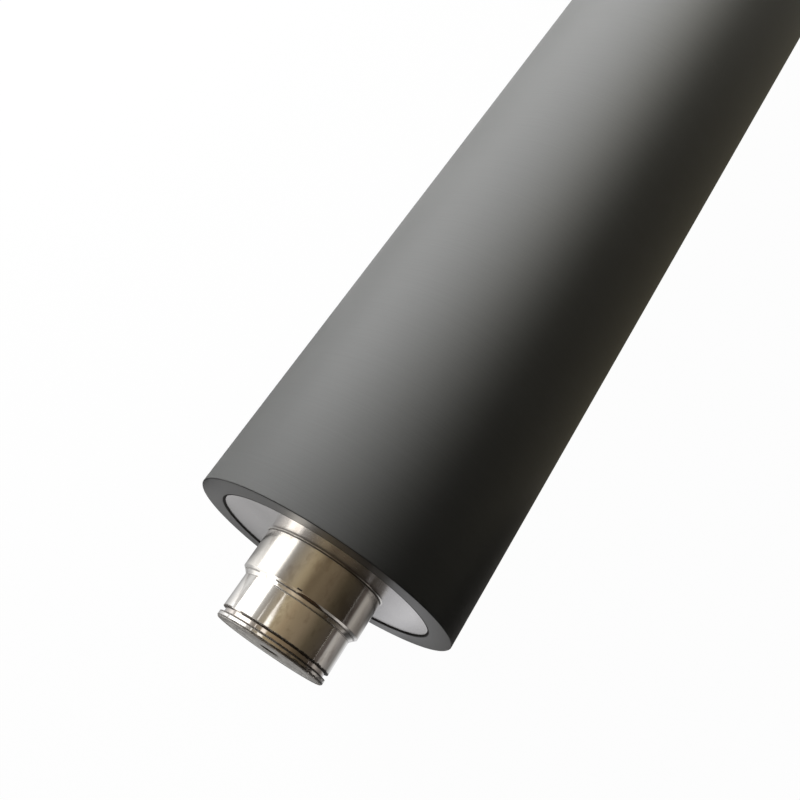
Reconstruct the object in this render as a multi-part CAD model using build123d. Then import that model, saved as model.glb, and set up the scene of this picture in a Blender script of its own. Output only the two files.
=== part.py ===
from build123d import *
from math import radians, tan
import os

# Rubber covered printing roller. A turned steel core carries a stepped journal at each end,
# and a rubber cover is bonded to the core's body. Sizes are in millimetres. The roller's axis
# is Y, and the origin is the middle of the roller.

# Steel body, and the rubber cover on it that ends a little beyond the body's faces
body_diameter = 100.0
cover_thickness = 11.0
cover_length = 800.0
face_recess = 0.6
face_edge_chamfer = 0.4
cover_edge_break = 0.3

# Journal, the same at both ends, each length measured outwards from the one before
seat_diameter = 50.0
collar_step = 2.5
collar_length = 17.5
collar_root_fillet = 0.8
chamfer_length = 0.85
chamfer_step = 1.05
cone_length = 1.65
seat_length = 15.0
seat_root_fillet = 0.4
ring_groove_width = 2.15
ring_groove_depth = 1.5
end_land_length = 2.35
end_chamfer = 0.5

# Lathe centre hole in each end
centre_mouth_diameter = 8.5
centre_cone_angle = 60.0
centre_pilot_diameter = 4.0
centre_pilot_length = 4.0
drill_point_angle = 118.0

# Diameters that follow from those
cover_diameter = body_diameter + 2 * cover_thickness
collar_diameter = seat_diameter + 2 * collar_step
cone_diameter = collar_diameter - 2 * chamfer_step
ring_groove_diameter = seat_diameter - 2 * ring_groove_depth

# Stations along the axis, from the middle of the roller to one end
cover_end = cover_length / 2
steel_face = cover_end - face_recess
chamfer_start = steel_face + collar_length
cone_start = chamfer_start + chamfer_length
seat_start = cone_start + cone_length
groove_start = seat_start + seat_length
land_start = groove_start + ring_groove_width
journal_end = land_start + end_land_length


def corner(section, diameter, station):
    """The section's corner nearest to a diameter and a place along the axis."""
    return section.vertices().sort_by_distance(Vector(diameter / 2, station))[0]


def turned(half_section):
    """The solid turned from a section of one half of the roller and its mirror image."""
    return revolve(half_section + mirror(half_section, about=Plane.XZ), Axis.Y)


def journal_steps():
    """Corners of the journal's outside as radius and station, from the steel face outwards."""
    return [
        (collar_diameter / 2, steel_face),
        (collar_diameter / 2, chamfer_start),
        (cone_diameter / 2, cone_start),
        (seat_diameter / 2, seat_start),
        (seat_diameter / 2, groove_start),
        (ring_groove_diameter / 2, groove_start),
        (ring_groove_diameter / 2, land_start),
        (seat_diameter / 2, land_start),
        (seat_diameter / 2, journal_end),
    ]


def centre_hole_steps():
    """Corners of the lathe centre hole as radius and station, from its mouth to its point."""
    mouth = centre_mouth_diameter / 2
    pilot = centre_pilot_diameter / 2
    cone_end = journal_end - (mouth - pilot) / tan(radians(centre_cone_angle / 2))
    pilot_end = cone_end - centre_pilot_length
    point = pilot_end - pilot / tan(radians(drill_point_angle / 2))
    return [(mouth, journal_end), (pilot, cone_end), (pilot, pilot_end), (0, point)]


def roller_core():
    """The steel core: its body, a stepped journal and a lathe centre hole at each end."""
    body = [(0, 0), (body_diameter / 2, 0), (body_diameter / 2, steel_face)]
    outline = Polyline(body + journal_steps() + centre_hole_steps(), close=True)
    section = make_face(outline)
    section = fillet(corner(section, collar_diameter, steel_face), collar_root_fillet)
    section = fillet(corner(section, seat_diameter, seat_start), seat_root_fillet)
    section = chamfer(corner(section, body_diameter, steel_face), face_edge_chamfer)
    section = chamfer(corner(section, seat_diameter, journal_end), end_chamfer)
    return turned(section)


def rubber_cover():
    """The rubber sleeve, bonded to the body over its whole bore, with its rim edges broken."""
    bore = body_diameter / 2
    rim = cover_diameter / 2
    outline = Polyline((bore, 0), (rim, 0), (rim, cover_end), (bore, cover_end), close=True)
    section = make_face(outline)
    section = chamfer(corner(section, cover_diameter, cover_end), cover_edge_break)
    return turned(section)


os.makedirs("parts", exist_ok=True)
export_step(roller_core(), "parts/roller_core.step")
export_step(rubber_cover(), "parts/rubber_cover.step")
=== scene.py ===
from math import cos, pi, radians, sin, tan

import bmesh
import bpy
from mathutils import Matrix, Vector


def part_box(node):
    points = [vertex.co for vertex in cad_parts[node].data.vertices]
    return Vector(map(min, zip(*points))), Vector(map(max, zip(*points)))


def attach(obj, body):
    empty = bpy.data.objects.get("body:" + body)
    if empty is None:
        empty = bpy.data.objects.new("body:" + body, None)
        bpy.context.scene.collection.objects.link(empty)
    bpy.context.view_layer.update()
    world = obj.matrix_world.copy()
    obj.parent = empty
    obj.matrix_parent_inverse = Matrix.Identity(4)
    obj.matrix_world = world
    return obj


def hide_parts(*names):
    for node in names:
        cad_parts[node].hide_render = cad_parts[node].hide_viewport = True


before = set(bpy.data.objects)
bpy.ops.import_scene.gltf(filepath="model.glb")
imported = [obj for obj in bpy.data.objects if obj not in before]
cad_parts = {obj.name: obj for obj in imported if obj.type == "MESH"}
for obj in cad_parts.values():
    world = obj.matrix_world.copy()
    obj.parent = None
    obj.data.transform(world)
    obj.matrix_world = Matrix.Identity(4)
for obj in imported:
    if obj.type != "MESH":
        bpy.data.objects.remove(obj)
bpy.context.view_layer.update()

# Rubber covered printing roller. The roller lies along Y, its middle is the origin, and the
# photographed end is the one at -Y. Sizes of the roller and of its patterns are millimetres,
# and places on the stage are metres.
MM = 0.001

# Radii and stations that come from the CAD
cover_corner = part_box("rubber_cover")[1] / MM
core_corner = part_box("roller_core")[1] / MM
cover_radius = round(cover_corner.x, 2)
cover_end = round(cover_corner.y, 2)
body_radius = round(core_corner.x, 2)
journal_end = round(core_corner.y, 2)

# Journal, the same at both ends, each length measured outwards from the one before
seat_radius = 25.0
collar_step = 2.5
chamfer_step = 1.05
groove_depth = 1.5
face_recess = 0.6
collar_length = 17.5
chamfer_length = 0.85
cone_length = 1.65
seat_length = 15.0
groove_width = 2.15

# Broken edges and root fillets
cover_edge_break = 0.3
body_chamfer = 0.4
end_chamfer = 0.5
collar_root_fillet = 0.8
seat_root_fillet = 0.4

# Radii and stations that follow, the stations from the middle of the roller to one end
collar_radius = seat_radius + collar_step
cone_radius = collar_radius - chamfer_step
groove_radius = seat_radius - groove_depth
steel_face = cover_end - face_recess
chamfer_start = steel_face + collar_length
cone_start = chamfer_start + chamfer_length
seat_start = cone_start + cone_length
groove_start = seat_start + seat_length
land_start = groove_start + groove_width

# Lathe centre hole in each end
centre_mouth = 4.25
centre_pilot = 2.0
centre_half_angle = 30.0
pilot_length = 4.0
drill_half_angle = 59.0
pilot_start = journal_end - (centre_mouth - centre_pilot) / tan(radians(centre_half_angle))
pilot_end = pilot_start - pilot_length
drill_point = pilot_end - centre_pilot / tan(radians(drill_half_angle))

# Rounds on the edges that a lathe leaves, from the keenest edge to the softest
keen_round = 0.05
crisp_round = 0.08
eased_round = 0.1
edge_round = 0.12
soft_round = 0.15


# Node trees


class Value:
    """A shader socket. Python's operators on it add Math nodes."""

    def __init__(self, nodes, socket):
        self.nodes = nodes
        self.socket = socket

    def __add__(self, other):
        return self.nodes.math("ADD", self, other)

    def __radd__(self, other):
        return self.nodes.math("ADD", other, self)

    def __sub__(self, other):
        return self.nodes.math("SUBTRACT", self, other)

    def __rsub__(self, other):
        return self.nodes.math("SUBTRACT", other, self)

    def __mul__(self, other):
        return self.nodes.math("MULTIPLY", self, other)

    def __rmul__(self, other):
        return self.nodes.math("MULTIPLY", other, self)

    def __truediv__(self, other):
        return self.nodes.math("DIVIDE", self, other)

    def __rtruediv__(self, other):
        return self.nodes.math("DIVIDE", other, self)

    def __pow__(self, other):
        return self.nodes.math("POWER", self, other)

    def __abs__(self):
        return self.nodes.math("ABSOLUTE", self)

    def swing(self, width):
        """A noise, which lies around 0.5, as a swing of some width around 0."""
        return (self - 0.5) * width

    def other(self, name):
        """Another output of the same node."""
        return Value(self.nodes, self.socket.node.outputs[name])


class Nodes:
    """A node tree that is filled by one method and by arithmetic on its values."""

    def __init__(self, tree):
        self.tree = tree
        tree.nodes.clear()

    def node(self, kind, settings, sockets, output=0):
        """Adds a node of a kind, makes its settings, then gives its sockets values or links."""
        made = self.tree.nodes.new("ShaderNode" + kind)
        for name, setting in settings.items():
            if name == "stops":
                self.set_stops(made.color_ramp, setting)
            else:
                setattr(made, name, setting)
        for name, value in sockets.items():
            if isinstance(value, Value):
                self.tree.links.new(value.socket, made.inputs[name])
            else:
                made.inputs[name].default_value = value
        return Value(self, made.outputs[output]) if made.outputs else made

    @staticmethod
    def set_stops(ramp, stops):
        """Gives a colour ramp its stops, each a place from 0 to 1 and a colour."""
        while len(ramp.elements) < len(stops):
            ramp.elements.new(1.0)
        for element, (place, colour) in zip(ramp.elements, stops):
            element.position = place
            element.color = rgb(*colour)

    def math(self, operation, *terms):
        return self.node("Math", {"operation": operation}, dict(enumerate(terms)))

    def most(self, first, second):
        """The higher of two values."""
        return self.math("MAXIMUM", first, second)

    def least(self, first, second):
        """The lower of two values."""
        return self.math("MINIMUM", first, second)

    def place(self):
        """Object coordinates of the surface, in millimetres."""
        point = self.node("TexCoord", {}, {}, "Object")
        split = self.node("SeparateXYZ", {}, {"Vector": point})
        return [value / MM for value in (split, split.other("Y"), split.other("Z"))]

    def noise(self, point, scale=1.0, detail=2.0, roughness=0.5):
        """Noise at a point of three coordinates. A low factor on one draws the noise out."""
        vector = self.node("CombineXYZ", {}, dict(zip("XYZ", point)))
        sockets = {"Vector": vector, "Scale": scale, "Detail": detail, "Roughness": roughness}
        return self.node("TexNoise", {}, sockets)

    def step(self, value, low, high, start=0.0, end=1.0):
        """Goes smoothly from start to end as the value goes from low to high."""
        sockets = {
            "Value": value,
            "From Min": low,
            "From Max": high,
            "To Min": start,
            "To Max": end,
        }
        return self.node("MapRange", {"interpolation_type": "SMOOTHSTEP"}, sockets)

    def ramp(self, value, stops):
        """A colour that follows stops, each a place on the value's own scale and a colour."""
        low = stops[0][0]
        reach = stops[-1][0] - low
        shares = [((place - low) / reach, colour) for place, colour in stops]
        return self.node("ValToRGB", {"stops": shares}, {"Fac": (value - low) / reach})

    def mix(self, factor, first, second):
        """One colour turning into another."""
        sockets = {0: factor, 6: first, 7: second}
        return self.node("Mix", {"data_type": "RGBA"}, sockets, 2)

    def bump(self, height, distance, strength=1.0, normal=None):
        """A normal tilted by a height, which counts in units of a distance in millimetres."""
        sockets = {"Height": height, "Distance": distance * MM, "Strength": strength}
        if normal is not None:
            sockets["Normal"] = normal
        return self.node("Bump", {}, sockets)

    def surface(self, shader):
        """Ends the material in a shader."""
        self.node("OutputMaterial", {}, {"Surface": shader})

    def solid(self, sockets):
        """Ends the material in the shader of a solid body, with these sockets."""
        self.surface(self.node("BsdfPrincipled", {}, sockets))

    def glow(self, colour, strength):
        """Ends the material in light of its own."""
        self.surface(self.node("Emission", {}, {"Color": colour, "Strength": strength}))


def new_material(name):
    """A material and its empty node tree."""
    material = bpy.data.materials.new(name)
    material.use_nodes = True
    return material, Nodes(material.node_tree)


def rgb(red, green, blue):
    """A colour as a socket takes it."""
    return (red, green, blue, 1.0)


def distance_from_axis(x, z):
    return (x * x + z * z) ** 0.5


def angle_round_axis(n, x, z):
    """Degrees from straight up towards +X."""
    return n.math("ARCTAN2", x, z) * (180 / pi)


# Finishes of the rubber

GROUND_DARK = rgb(0.116, 0.117, 0.115)
GROUND_LIGHT = rgb(0.164, 0.166, 0.162)
CUT_DARK = rgb(0.085, 0.082, 0.082)
CUT_LIGHT = rgb(0.130, 0.126, 0.126)
# Painted shade for a ring at the bore's edge of the cut ends
BORE_SHADE_BLACK = rgb(0.008, 0.008, 0.007)


def ground_rubber():
    """The cover's outside: fine rings left by the grinding wheel and a matt grain."""
    material, n = new_material("ground_rubber")
    x, y, z = n.place()
    rings = n.noise((x * 0.012, y * 1.5, z * 0.012), detail=3.0, roughness=0.7)
    fine = n.noise((x * 0.03, y * 5.0, z * 0.03))
    grain = n.noise((x, y, z), scale=2.6, detail=3.0, roughness=0.7)
    clouds = n.noise((x, y, z), scale=0.018)
    tone = 0.5 + rings.swing(0.5) + fine.swing(0.3) + grain.swing(0.5) + clouds.swing(0.5)
    rough = 0.50 + grain.swing(0.12) + rings.swing(0.08) + clouds.swing(0.06)
    height = rings * 0.6 + fine * 0.3 + grain * 0.5
    n.solid(
        {
            "Base Color": n.mix(tone, GROUND_DARK, GROUND_LIGHT),
            "Roughness": rough,
            "Normal": n.bump(height, distance=0.03, strength=0.9),
            "IOR": 1.52,
        }
    )
    return material


def cut_rubber():
    """The cover's end faces, cut with a knife tool: rings about the axis, and painted shade in
    a dark ring at the bore.
    """
    material, n = new_material("cut_rubber")
    x, y, z = n.place()
    radius = distance_from_axis(x, z)
    rings = n.noise((x * 0.02, radius * 2.4, z * 0.02), detail=3.0, roughness=0.6)
    grain = n.noise((x, y, z), scale=2.2, detail=3.0, roughness=0.7)
    clouds = n.noise((x, y, z), scale=0.06)
    tone = 0.5 + rings.swing(0.7) + grain.swing(0.5) + clouds.swing(0.6)
    colour = n.mix(tone, CUT_DARK, CUT_LIGHT)
    # Painted shade: a dark, rougher ring on the cut end at its bore, beside the recessed steel
    # face
    bore_shade = n.step(radius, body_radius + 0.4, body_radius + 0.85, 1.0, 0.0)
    n.solid(
        {
            "Base Color": n.mix(bore_shade, colour, BORE_SHADE_BLACK),
            "Roughness": 0.38 + grain.swing(0.14) + rings.swing(0.10) + bore_shade * 0.4,
            "Normal": n.bump(rings * 0.7 + grain * 0.4, distance=0.05, strength=0.6),
            "IOR": 1.62,
        }
    )
    return material


# Finishes of the steel

TURNED_LIGHT = rgb(0.52, 0.505, 0.505)
TURNED_DARK = rgb(0.41, 0.40, 0.40)
# Painted shade in the corner at the collar's root
ROOT_SHADE_BROWN = rgb(0.16, 0.13, 0.10)

GROUND_STEEL = rgb(0.64, 0.625, 0.60)
TARNISH = rgb(0.42, 0.395, 0.36)
SMUDGE_BROWN = rgb(0.31, 0.265, 0.225)
GROOVE_BROWN = rgb(0.36, 0.28, 0.23)
RUBBED_BROWN = rgb(0.11, 0.062, 0.032)
# Grime, also painted shade along the journal's corners
GRIME_AND_SHADE = rgb(0.030, 0.021, 0.014)

FACED_LIGHT = rgb(0.66, 0.66, 0.64)
FACED_DARK = rgb(0.40, 0.395, 0.38)
BAND_GREY = rgb(0.16, 0.155, 0.145)
# Handling grime, also painted shade on the end's rim
HANDLING_DIRT_AND_SHADE = rgb(0.035, 0.028, 0.022)

# The collar's grinding rings, like fine teeth that lean outwards: their rate in radians a
# millimetre, their height in millimetres, and the slope of their lean
TOOTH_RATE = 39.0
TOOTH_HEIGHT = 0.00128
TOOTH_LEAN = 0.13


def turned_face():
    """The steel body's faces: rings left by the lathe tool, and painted shade at the collar's
    root.
    """
    material, n = new_material("turned_face")
    x, y, z = n.place()
    radius = distance_from_axis(x, z)
    rings = n.noise((x * 0.01, radius * 3.2, z * 0.01), roughness=0.6)
    grain = n.noise((x, y, z * 0.4), scale=1.5, detail=3.0, roughness=0.65)
    stain = n.noise((x, y, z * 0.5), scale=0.045)
    tone = n.step(stain, 0.3, 0.8) + grain.swing(1.3)
    colour = n.mix(tone, TURNED_LIGHT, TURNED_DARK)
    # Painted shade: the face turns dark brown in the corner beside the collar's root
    root = n.step(radius, collar_radius + 0.3, collar_radius + 1.2, 0.35, 0.0)
    n.solid(
        {
            "Base Color": n.mix(root, colour, ROOT_SHADE_BROWN),
            "Metallic": 1.0,
            "Roughness": 0.25 + rings.swing(0.08) + grain.swing(0.12),
            "Normal": n.bump(rings * 0.35 + grain * 0.4, distance=0.02, strength=0.35),
        }
    )
    return material


def corner_grime_and_shade(n, x, y, z, angle, ragged):
    """Grime and painted shade along every turned corner of the journal, and soil on the end
    land's right side.
    """
    wander = n.noise((x * 0.16, y * 0.05, z * 0.16), detail=3.0, roughness=0.6)
    station = abs(y) + wander.swing(0.30) + ragged.swing(0.24)
    spikes = station + ragged.swing(n.step(angle, 30.0, 50.0, 0.0, 1.6))
    # The shoulder's two lines, painted shade in part, fade out where the highlight falls near
    # -26 degrees and are weaker at both sides, and the groove's line is thinner near -38
    # degrees
    shoulder_fade = n.step(abs(angle + 26.0), 9.0, 11.0)
    shoulder_fade = shoulder_fade * n.step(angle, -38.0, -30.0, 0.75, 1.0) * n.step(angle, 44.0, 52.0, 1.0, 0.55)
    groove_line_thinning = n.step(abs(angle + 38.0), 6.0, 8.0, 0.25, 1.0)
    # Each line: the station that it is measured by, its place, half width and strength
    lines = [
        (station, cone_start + 0.18, 0.40, shoulder_fade * 0.85),
        (station, seat_start + 0.34, 0.38, shoulder_fade * 0.62),
        (spikes, groove_start - 0.10, 0.62, groove_line_thinning),
        (station, land_start + 0.12, 0.62, 1.0),
        (spikes, journal_end - 0.45, 0.50, 0.95),
        (station, steel_face + 0.65, 0.48, 0.95),
    ]
    # Each corner line is grime with painted shade
    dirt_and_shade = 0.0
    for measured, place, half_width, strength in lines:
        away = abs(measured - place)
        dirt_and_shade = n.most(dirt_and_shade, n.step(away, half_width * 0.35, half_width, strength, 0.0))
    broken = n.step(ragged, 0.22, 0.55, 0.6, 1.0)
    soil = n.noise((x * 0.35, y * 0.7, z * 0.35), detail=3.0)
    on_land = n.step(abs(y), land_start, land_start + 0.2)
    soil = n.step(soil, 0.50, 0.64, 0.0, 0.6) * on_land * n.step(angle, 18.0, 36.0)
    return n.most(dirt_and_shade * broken, soil)


def rubbed_edge(n, y, angle, ragged):
    """The brown edge of the collar, where a bearing's rim has rubbed."""
    away = abs(abs(y) - cone_start + 0.10 + ragged.swing(0.3))
    along = n.step(angle, 4.0, 12.0) * n.step(angle, 22.0, 33.0, 1.0, 0.0)
    width = along * 0.68 + 0.02
    return n.step(away / width, 0.7, 1.0, 1.0, 0.0) * n.step(along, 0.0, 0.2)


def nick(n, y, angle, ragged):
    """A nick in the collar, just inside its rubbed edge."""
    away = abs(abs(y) - chamfer_start + 0.51 + ragged.swing(0.2))
    along = n.step(abs(angle - 6.1), 1.8, 2.6, 1.0, 0.0)
    return n.step(away, 0.20, 0.38, 1.0, 0.0) * along


def ground_journal():
    """The journals: ground bright, with fine rings, thin stains, and grime and painted shade in
    every corner.
    """
    material, n = new_material("ground_journal")
    x, y, z = n.place()
    angle = angle_round_axis(n, x, z)
    ragged = n.noise((x * 0.9, y * 0.2, z * 0.9), detail=3.0, roughness=0.65)
    rings = n.noise((x * 0.02, y * 9.0, z * 0.02), roughness=0.6)
    scratch = n.noise((x * 0.5, y * 0.14, z * 0.5), detail=4.0, roughness=0.7)
    blotch = n.noise((x * 0.13, y * 0.045, z * 0.13), detail=3.0, roughness=0.55)
    smudge = n.noise((x * 0.22, y * 0.12, z * 0.22), detail=4.0, roughness=0.6)
    waves = n.noise((x * 0.14, y * 0.07, z * 0.14))
    collar = n.step(abs(y), chamfer_start - 0.1, chamfer_start + 0.1, 1.0, 0.0)
    groove = n.step(abs(y), groove_start, groove_start + 0.1)
    groove = groove * n.step(abs(y), land_start - 0.1, land_start, 1.0, 0.0)
    # The rubbed edge and the nick are at the near end alone
    near = n.math("LESS_THAN", y, 0.0)
    rubbed = rubbed_edge(n, y, angle, ragged) * near
    dirt_and_shade = n.most(corner_grime_and_shade(n, x, y, z, angle, ragged), nick(n, y, angle, ragged) * near)
    tarnish = n.step(blotch, 0.45, 0.75, 0.0, 0.3) + collar * 0.6
    colour = n.mix(tarnish, GROUND_STEEL, TARNISH)
    colour = n.mix(n.step(smudge, 0.48, 0.68, 0.0, 0.4), colour, SMUDGE_BROWN)
    colour = n.mix(groove * 0.4, colour, GROOVE_BROWN)
    colour = n.mix(rubbed, colour, RUBBED_BROWN)
    # Corner lines of grime and painted shade, the nick, and soil on the land
    colour = n.mix(dirt_and_shade, colour, GRIME_AND_SHADE)
    stain = n.most(dirt_and_shade, rubbed * 0.7)
    rough = 0.08 + rings.swing(0.05) + tarnish * 0.04 + n.step(scratch, 0.55, 0.8) * 0.08
    rough = rough + stain * 0.4
    teeth = n.math("SINE", y * TOOTH_RATE) * TOOTH_HEIGHT * collar
    lean = n.most(chamfer_start - abs(y), 0.0) * TOOTH_LEAN
    normal = n.bump(rings * 0.1 + scratch * 0.02, distance=0.02)
    normal = n.bump(waves, distance=0.025, normal=normal)
    normal = n.bump(lean + teeth, distance=1.0, normal=normal)
    n.solid(
        {
            "Base Color": colour,
            "Metallic": 1.0 - stain * 0.85,
            "Roughness": rough,
            "Normal": normal,
        }
    )
    return material


def faced_end():
    """The journals' end faces: coarse tool rings and bands, smeared and stained by handling,
    with painted shade on the rim.
    """
    material, n = new_material("faced_end")
    x, y, z = n.place()
    radius = distance_from_axis(x, z)
    angle = angle_round_axis(n, x, z)
    rings = n.noise((x * 0.03, radius * 1.6, z * 0.03), detail=3.0, roughness=0.6)
    bands = n.noise((x * 0.02, radius * 0.30, z * 0.02), detail=3.0, roughness=0.55)
    smear = n.noise((x * 0.09, y, z * 0.20), detail=4.0, roughness=0.65)
    # Smeared grime; a dark rim, grime in part, whose strength round the end is painted shade,
    # most from 10 to 45 degrees and less at the sides; and dark all over the centre hole
    side = n.step(angle, -35.0, 10.0, 0.3, 1.0) * n.step(angle, 45.0, 75.0, 1.0, 0.4)
    rim = n.step(radius + smear.swing(2.0), seat_radius - 2.7, seat_radius - 1.9) * side
    hole = n.step(radius, centre_mouth - 0.3, centre_mouth + 0.4, 1.0, 0.0)
    dirt_and_shade = n.most(n.most(n.step(smear, 0.47, 0.72, 0.0, 0.7), rim), hole * 0.95)
    colour = n.mix(rings, FACED_LIGHT, FACED_DARK)
    colour = n.mix(n.step(bands, 0.42, 0.60, 0.0, 0.7), colour, BAND_GREY)
    n.solid(
        {
            "Base Color": n.mix(dirt_and_shade, colour, HANDLING_DIRT_AND_SHADE),
            "Metallic": 1.0 - dirt_and_shade * 0.8,
            "Roughness": 0.42 + rings.swing(0.2) + dirt_and_shade * 0.25 + hole * 0.3,
            "Normal": n.bump(rings, distance=0.06, strength=0.6),
        }
    )
    return material


# Turned pieces

# Faces round the axis, rows in an edge's round, and how far its support rows lie beside it
SEGMENTS = 512
ARC_STEPS = 3
SUPPORT = 0.1

# Vertices this close become one, in metres
MERGE_DISTANCE = 1e-7


def rounded(corners):
    """A turned outline with its corners rounded.

    Every corner is a radius, a station, the size of its edge round, and the finish of the
    surface from there on. Beside each round comes a support row, so that the smooth shading
    stays on the round. The first and the last corner have no round.
    """
    points = [Vector((radius, station)) for radius, station, _, _ in corners]
    finishes = [finish for _, _, _, finish in corners]
    outline = []
    for index, (_, _, size, finish) in enumerate(corners):
        here = points[index]
        if size == 0:
            outline.append((here, finish))
            continue
        back = (points[index - 1] - here).normalized()
        ahead = (points[index + 1] - here).normalized()
        half = back.angle(ahead) / 2
        reach = size / tan(half)
        centre = here + (back + ahead).normalized() * (size / sin(half))
        start = here + back * reach
        end = here + ahead * reach
        support = min(reach / 2, SUPPORT)
        outline.append((start + back * support, finishes[index - 1]))
        sweep = (end - centre).angle_signed(start - centre)
        for step in range(ARC_STEPS + 1):
            turn = Matrix.Rotation(sweep * step / ARC_STEPS, 2)
            outline.append((centre + turn @ (start - centre), finish))
        outline.append((end + ahead * support, finish))
    return outline


def ring(mesh, radius, station):
    """The vertices of one row of a turned mesh, a single one where it meets the axis."""
    if radius == 0:
        return [mesh.verts.new((0, station * MM, 0))]
    points = []
    for index in range(SEGMENTS):
        turn = 2 * pi * index / SEGMENTS
        place = Vector((radius * sin(turn), station, radius * cos(turn)))
        points.append(mesh.verts.new(place * MM))
    return points


def turned_piece(name, outline, finishes, node):
    """Turns an outline of one end about the axis, mirrors it to the other end, and rides it."""
    names = list(finishes)
    mesh = bmesh.new()
    rows = [ring(mesh, *point) for point, _ in outline]
    for first, second, (_, finish) in zip(rows, rows[1:], outline):
        for index in range(SEGMENTS):
            following = (index + 1) % SEGMENTS
            loop = [first[index % len(first)], first[following % len(first)]]
            loop += [second[following % len(second)], second[index % len(second)]]
            face = mesh.faces.new(dict.fromkeys(loop))
            face.material_index = names.index(finish)
            face.smooth = True
    copied = bmesh.ops.duplicate(mesh, geom=mesh.verts[:] + mesh.edges[:] + mesh.faces[:])
    mirrored = [item for item in copied["geom"] if isinstance(item, bmesh.types.BMVert)]
    bmesh.ops.scale(mesh, vec=(1, -1, 1), verts=mirrored)
    bmesh.ops.remove_doubles(mesh, verts=mesh.verts, dist=MERGE_DISTANCE)
    bmesh.ops.recalc_face_normals(mesh, faces=mesh.faces)
    data = bpy.data.meshes.new(name)
    mesh.to_mesh(data)
    mesh.free()
    for material in finishes.values():
        data.materials.append(material)
    piece = bpy.data.objects.new(name, data)
    bpy.context.scene.collection.objects.link(piece)
    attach(piece, "root")
    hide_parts(node)
    return piece


def make_cover():
    """The rubber cover, a sleeve with its bore, square-cut ends and lightly broken rims."""
    corners = [
        (body_radius, 0.0, 0, "cut"),
        (body_radius, cover_end, crisp_round, "cut"),
        (cover_radius - cover_edge_break, cover_end, edge_round, "cut"),
        (cover_radius, cover_end - cover_edge_break, soft_round, "ground"),
        (cover_radius, 0.0, 0, "ground"),
    ]
    finishes = {"ground": ground_rubber(), "cut": cut_rubber()}
    name = "ground_rubber_cover"
    return turned_piece(name, rounded(corners), finishes, "rubber_cover")


def make_core():
    """The steel core: its body, its faces, and the stepped journals with their centre holes."""
    corners = [
        (body_radius, 0.0, 0, "face"),
        (body_radius, steel_face - body_chamfer, keen_round, "face"),
        (body_radius - body_chamfer, steel_face, crisp_round, "face"),
        (collar_radius, steel_face, collar_root_fillet, "journal"),
        (collar_radius, chamfer_start, edge_round, "journal"),
        (cone_radius, cone_start, edge_round, "journal"),
        (seat_radius, seat_start, seat_root_fillet, "journal"),
        (seat_radius, groove_start, eased_round, "journal"),
        (groove_radius, groove_start, edge_round, "journal"),
        (groove_radius, land_start, edge_round, "journal"),
        (seat_radius, land_start, eased_round, "journal"),
        (seat_radius, journal_end - end_chamfer, crisp_round, "journal"),
        (seat_radius - end_chamfer, journal_end, crisp_round, "end"),
        (centre_mouth, journal_end, soft_round, "end"),
        (centre_pilot, pilot_start, eased_round, "end"),
        (centre_pilot, pilot_end, keen_round, "end"),
        (0.0, drill_point, 0, "end"),
    ]
    finishes = {"journal": ground_journal(), "face": turned_face(), "end": faced_end()}
    name = "turned_steel_core"
    return turned_piece(name, rounded(corners), finishes, "roller_core")


# Stage: camera, floor, lamps, and the cards that the bright steel reflects

WHITE = rgb(1.0, 1.0, 1.0)
BLACK = rgb(0.0, 0.0, 0.0)
WARM_WHITE = rgb(1.0, 0.99, 0.97)

table_level = -cover_radius * MM

# How far the cards reach along the roller, and where the near arch ends and the far one starts
STAGE_FRONT = -3.0
STAGE_BACK = 5.0
ARCH_SPLIT = -0.12

# The arches' radius, the degrees that they reach down each side, and their number of faces
ARCH_RADIUS = 1.0
ARCH_REACH = 93.0
ARCH_STEPS = 96


def add_camera():
    """The photograph's viewpoint: above the near journal, looking down the roller.

    The numbers are those of a camera fitted to the roller's edges in the photograph.
    """
    place = Vector((0.07443278, -0.46066925, 0.33919028))
    right = Vector((0.85178533, 0.52389098, 0.0))
    ahead = Vector((-0.23280735, 0.37851746, -0.89583775))
    right = (right - right.dot(ahead) * ahead).normalized()
    up = right.cross(ahead)
    data = bpy.data.cameras.new("camera")
    data.lens = 37.44
    data.clip_start = 0.01
    camera = bpy.data.objects.new("camera", data)
    turned = Matrix((right, up, -ahead)).transposed().to_4x4()
    camera.matrix_world = Matrix.Translation(place) @ turned
    bpy.context.scene.collection.objects.link(camera)
    bpy.context.scene.camera = camera


def seen(n):
    """1 for rays that show the background: from the camera, off metal, or through glass."""
    camera = n.node("LightPath", {}, {}, "Is Camera Ray")
    glossy = camera.other("Is Glossy Ray")
    through = camera.other("Is Transmission Ray")
    return n.least(camera + glossy + through, 1.0)


def set_world():
    """White where it shows, and a weak even fill on the object."""
    world = bpy.data.worlds.new("studio")
    bpy.context.scene.world = world
    world.use_nodes = True
    n = Nodes(world.node_tree)
    fill = n.node("Background", {}, {"Color": WHITE, "Strength": 0.004})
    white = n.node("Background", {}, {"Color": WHITE, "Strength": 1.0})
    mixed = n.node("MixShader", {}, {0: seen(n), 1: fill, 2: white})
    n.node("OutputWorld", {}, {"Surface": mixed})


def stage_piece(name, points, faces, material):
    """A piece of the stage, made of flat faces."""
    data = bpy.data.meshes.new(name)
    data.from_pydata(points, [], faces)
    data.materials.append(material)
    piece = bpy.data.objects.new(name, data)
    bpy.context.scene.collection.objects.link(piece)
    return piece


def level_sheet(name, level, fields, material):
    """A level sheet of one or more fields, each its lowest and highest X and Y."""
    points = []
    for left, right, front, back in fields:
        points += [(left, front, level), (right, front, level)]
        points += [(right, back, level), (left, back, level)]
    faces = [tuple(range(first, first + 4)) for first in range(0, len(points), 4)]
    return stage_piece(name, points, faces, material)


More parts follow.
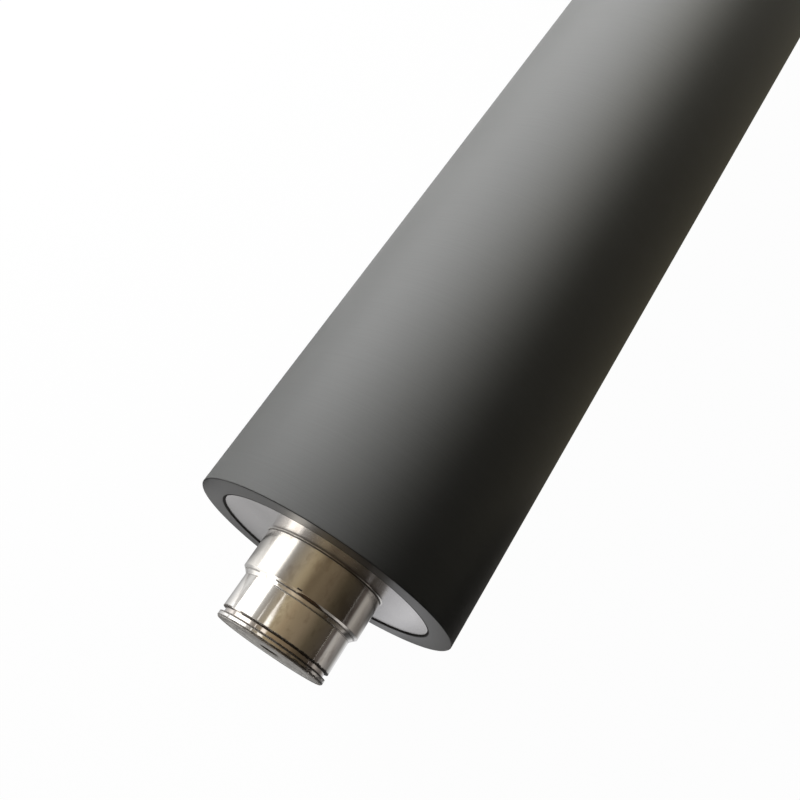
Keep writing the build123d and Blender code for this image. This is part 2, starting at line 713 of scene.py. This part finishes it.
def bent_card(name, start, end, material):
    """A card bent over the roller from one side of the floor to the other."""
    points = []
    faces = []
    for index in range(ARCH_STEPS + 1):
        turn = radians(ARCH_REACH * (2 * index / ARCH_STEPS - 1))
        for place in (start, end):
            points.append((ARCH_RADIUS * sin(turn), place, ARCH_RADIUS * cos(turn)))
        if index:
            last = 2 * index
            faces.append((last - 2, last - 1, last + 1, last))
    return stage_piece(name, points, faces, material)


def only_glossy(card):
    """Lets only reflections show a card."""
    card.visible_camera = False
    card.visible_diffuse = False
    card.visible_shadow = False
    card.visible_transmission = False
    card.visible_volume_scatter = False


def only_for(light, receiver):
    """Lets a card or a lamp light one object alone."""
    receivers = bpy.data.collections.new(light.name + "_receivers")
    receivers.objects.link(receiver)
    light.light_linking.receiver_collection = receivers


def add_floor():
    """A pale floor under the roller, white where it shows, that keeps a faint shadow."""
    material, n = new_material("pale_floor")
    white_share = 0.98
    half_size = 15.0
    below_cards = 0.0001
    matt = n.node("BsdfDiffuse", {}, {"Color": rgb(0.80, 0.80, 0.80)})
    white = n.node("Emission", {}, {"Color": WHITE, "Strength": 1.0})
    n.surface(n.node("MixShader", {}, {0: seen(n) * white_share, 1: matt, 2: white}))
    field = (-half_size, half_size, -half_size, half_size)
    return level_sheet("floor", table_level - below_cards, [field], material)


def add_near_arch(core):
    """The room that the near end reflects: a wide window at the left, beige walls, shade."""
    material, n = new_material("near_arch_card")
    x, y, z = n.place()
    angle = angle_round_axis(n, x, z)
    walls = [
        (-100.0, (0.8, 0.8, 0.8)),
        (-48.0, (0.75, 0.74, 0.72)),
        (-36.0, (0.42, 0.38, 0.33)),
        (-10.0, (0.60, 0.50, 0.33)),
        (8.0, (0.43, 0.33, 0.21)),
        (20.0, (0.34, 0.265, 0.17)),
        (40.0, (0.27, 0.21, 0.14)),
        (60.0, (0.125, 0.10, 0.065)),
        (90.0, (0.085, 0.07, 0.055)),
    ]
    wall = n.ramp(angle, walls)
    # Outside the cover's end the walls lie in shade from the top to the right, and deeper in
    # a stripe beside the top and low down
    shade = n.step(angle, -12.0, 10.0, 0.0, 0.26) + n.step(angle, 50.0, 80.0, 0.0, 0.16)
    shade = shade + n.step(abs(angle - 10.0), 3.0, 11.0, 0.16, 0.0)
    wall = n.mix(shade * n.step(y, -395.0, -375.0, 1.0, 0.0), wall, BLACK)
    # The outer part shows in the steel face, by way of the collar. There the window is
    # narrower and brighter
    outer = n.step(y, -620.0, -520.0, 1.0, 0.0)
    window = n.step(angle + outer * 11.0, -52.0, -46.0, 1.0, 0.0)
    # Two streaks of light just inside the cover's end: a thin one, and a broad one that tapers
    thin = n.step(abs(angle + 35.0), 0.5, 1.5, 1.0, 0.0) * n.step(y, -350.0, -320.0, 1.0, 0.0)
    middle = n.step(y, -370.0, -300.0, -16.0, -19.0)
    half_width = n.step(y, -370.0, -285.0, 7.5, 0.6)
    broad = n.step(abs(angle - middle) / half_width, 0.5, 1.0, 1.0, 0.0)
    broad = broad * n.step(y, -300.0, -285.0, 1.0, 0.0)
    streaks = n.most(thin, broad) * n.step(y, -385.0, -372.0, 0.0, 0.5)
    room = n.node("Emission", {}, {"Color": wall, "Strength": 1.0})
    strength = 3.2 + outer * 1.2
    bright = n.node("Emission", {}, {"Color": rgb(1.0, 0.985, 0.96), "Strength": strength})
    n.surface(n.node("MixShader", {}, {0: n.most(window, streaks), 1: room, 2: bright}))
    card = bent_card("near_arch", STAGE_FRONT, ARCH_SPLIT, material)
    only_glossy(card)
    only_for(card, core)


def add_far_arch():
    """Soft panels at the left and overhead, that the rubber shows as a broad sheen."""
    material, n = new_material("far_arch_card")
    x, y, z = n.place()
    angle = angle_round_axis(n, x, z)
    # Beside the cover's near half, and beyond it
    panels_beside = [
        (-90.0, (0.10, 0.10, 0.10)),
        (-68.0, (0.50, 0.50, 0.50)),
        (-46.0, (0.66, 0.66, 0.66)),
        (-30.0, (0.48, 0.48, 0.47)),
        (-14.0, (0.22, 0.22, 0.205)),
        (0.0, (0.01, 0.01, 0.008)),
    ]
    beside = n.ramp(angle, panels_beside)
    panels_beyond = [
        (-90.0, (0.14, 0.14, 0.14)),
        (-68.0, (0.31, 0.31, 0.31)),
        (-36.0, (0.40, 0.40, 0.40)),
        (-14.0, (0.38, 0.38, 0.365)),
        (4.0, (0.285, 0.28, 0.255)),
        (28.0, (0.14, 0.135, 0.112)),
        (44.0, (0.03, 0.028, 0.022)),
        (80.0, (0.015, 0.013, 0.009)),
    ]
    beyond = n.ramp(angle, panels_beyond)
    n.glow(n.mix(n.step(y, 50.0, 250.0), beside, beyond), strength=9.6)
    only_glossy(bent_card("far_arch", ARCH_SPLIT, STAGE_BACK, material))


def add_front_board(core):
    """An upright board far in front, that the near cone shows between its two dark edges."""
    material, n = new_material("front_board")
    x, _, _ = n.place()
    stripes = [
        (-1080.0, (1.0, 0.99, 0.97)),
        (-960.0, (0.24, 0.22, 0.18)),
        (-600.0, (0.24, 0.20, 0.15)),
        (-300.0, (0.42, 0.35, 0.26)),
        (150.0, (0.17, 0.13, 0.085)),
        (540.0, (0.12, 0.095, 0.065)),
        (840.0, (0.05, 0.042, 0.03)),
    ]
    colour = n.ramp(x, stripes)
    n.glow(colour, strength=2.0)
    half_width = 2.0
    front = -2.0
    top = 2.0
    points = [(-half_width, front, table_level), (half_width, front, table_level)]
    points += [(half_width, front, top), (-half_width, front, top)]
    board = stage_piece("front_board", points, [(0, 1, 2, 3)], material)
    only_glossy(board)
    only_for(board, core)


def add_table_cards(core):
    """The table as the roller reflects it: light at the left, grey towards the right."""
    material, n = new_material("table_card")
    x, y, _ = n.place()
    # Under the near end, ahead of it, and far ahead of it
    stripes_under = [
        (-232.0, (0.90, 0.90, 0.90)),
        (-148.0, (0.60, 0.60, 0.60)),
        (-70.0, (0.26, 0.26, 0.26)),
        (-4.0, (0.25, 0.25, 0.25)),
        (17.0, (0.26, 0.26, 0.265)),
        (35.0, (0.45, 0.45, 0.46)),
        (47.0, (0.32, 0.32, 0.32)),
        (68.0, (0.12, 0.115, 0.11)),
        (98.0, (0.15, 0.14, 0.135)),
        (170.0, (0.29, 0.275, 0.26)),
        (230.0, (0.26, 0.25, 0.24)),
        (314.0, (0.07, 0.06, 0.055)),
    ]
    under = n.ramp(x, stripes_under)
    stripes_ahead = [
        (-220.0, (1.0, 0.99, 0.97)),
        (-106.0, (0.70, 0.69, 0.67)),
        (-46.0, (0.12, 0.10, 0.08)),
        (50.0, (0.10, 0.08, 0.06)),
        (65.0, (0.36, 0.34, 0.33)),
        (83.0, (0.40, 0.38, 0.365)),
        (95.0, (0.14, 0.13, 0.12)),
        (158.0, (0.05, 0.042, 0.032)),
        (320.0, (0.02, 0.017, 0.013)),
    ]
    ahead = n.ramp(x, stripes_ahead)
    ahead = n.mix(n.step(x, 290.0, 360.0), ahead, rgb(0.15, 0.145, 0.145))
    far = n.mix(n.step(x, -200.0, -60.0), rgb(0.20, 0.165, 0.115), rgb(0.03, 0.022, 0.015))
    far = n.mix(n.step(x, -650.0, -480.0), WARM_WHITE, far)
    ahead = n.mix(n.step(y, -1000.0, -850.0), far, ahead)
    # Under the near end lie two shadows of the roller, of the journal's end and the steel face
    end_shadow = n.step(x, 12.0, 25.0) * n.step(y, -448.0, -424.0, 0.75, 0.0)
    face_shadow = n.step(abs(x), 25.0, 42.0) * n.step(x, 40.0, 105.0, 0.8, 0.0)
    face_shadow = face_shadow * n.step(y, -409.0, -402.0)
    face_shadow = n.least(face_shadow, n.step(x, -10.0, 10.0, 0.45, 1.0))
    under = n.mix(n.most(end_shadow, face_shadow), under, BLACK)
    colour = n.mix(n.step(y, -500.0, -462.0), ahead, under)
    # Along the cover the table is plain
    beside = n.mix(n.step(x, -100.0, 60.0), rgb(0.20, 0.20, 0.20), rgb(0.115, 0.102, 0.070))
    n.glow(n.mix(n.step(y, -380.0, -250.0), colour, beside), strength=2.0)
    # The fields at the near end's left and right light the core alone, and the rest both pieces
    edge = 1.05
    strip_left = -0.09
    strip_right = 0.10
    left_back = -0.25
    right_back = -0.30
    sides = [
        (-edge, strip_left, STAGE_FRONT, left_back),
        (strip_right, edge, STAGE_FRONT, right_back),
    ]
    rest = [
        (strip_left, strip_right, STAGE_FRONT, right_back),
        (strip_left, edge, right_back, left_back),
        (-edge, edge, left_back, STAGE_BACK),
    ]
    side_card = level_sheet("side_table_card", table_level, sides, material)
    only_glossy(side_card)
    only_for(side_card, core)
    only_glossy(level_sheet("table_card", table_level, rest, material))


def add_lamp(name, place, aim, size, radiance, spread=180.0, lit=None):
    """A soft box of one even radiance that only matt surfaces show: all, or one object's."""
    width, height = size
    data = bpy.data.lights.new(name, "AREA")
    data.shape = "RECTANGLE"
    data.size = width
    data.size_y = height
    data.energy = radiance * pi * width * height
    data.spread = radians(spread)
    lamp = bpy.data.objects.new(name, data)
    lamp.location = place
    lamp.rotation_mode = "QUATERNION"
    lamp.rotation_quaternion = (Vector(aim) - Vector(place)).to_track_quat("-Z", "X")
    lamp.visible_camera = False
    lamp.visible_glossy = False
    bpy.context.scene.collection.objects.link(lamp)
    if lit:
        only_for(lamp, lit)


make_cover()
core = make_core()
add_camera()
set_world()
floor = add_floor()
add_near_arch(core)
add_far_arch()
add_front_board(core)
add_table_cards(core)
add_lamp(
    "left_softbox",
    place=(-0.78, -0.1, 0.45),
    aim=(0.0, -0.1, 0.0),
    size=(0.4, 0.3),
    radiance=27.6,
)
add_lamp(
    "floor_light",
    place=(0.7, 0.5, 0.5),
    aim=(0.7, 0.5, 0.0),
    size=(1.2, 0.7),
    radiance=0.7,
    lit=floor,
)
add_lamp(
    "far_softbox",
    place=(0.85, 0.6, 0.35),
    aim=(0.0, 0.55, 0.0),
    size=(0.4, 0.6),
    radiance=1.1,
    spread=55.0,
)
bpy.context.scene.view_settings.view_transform = "Standard"
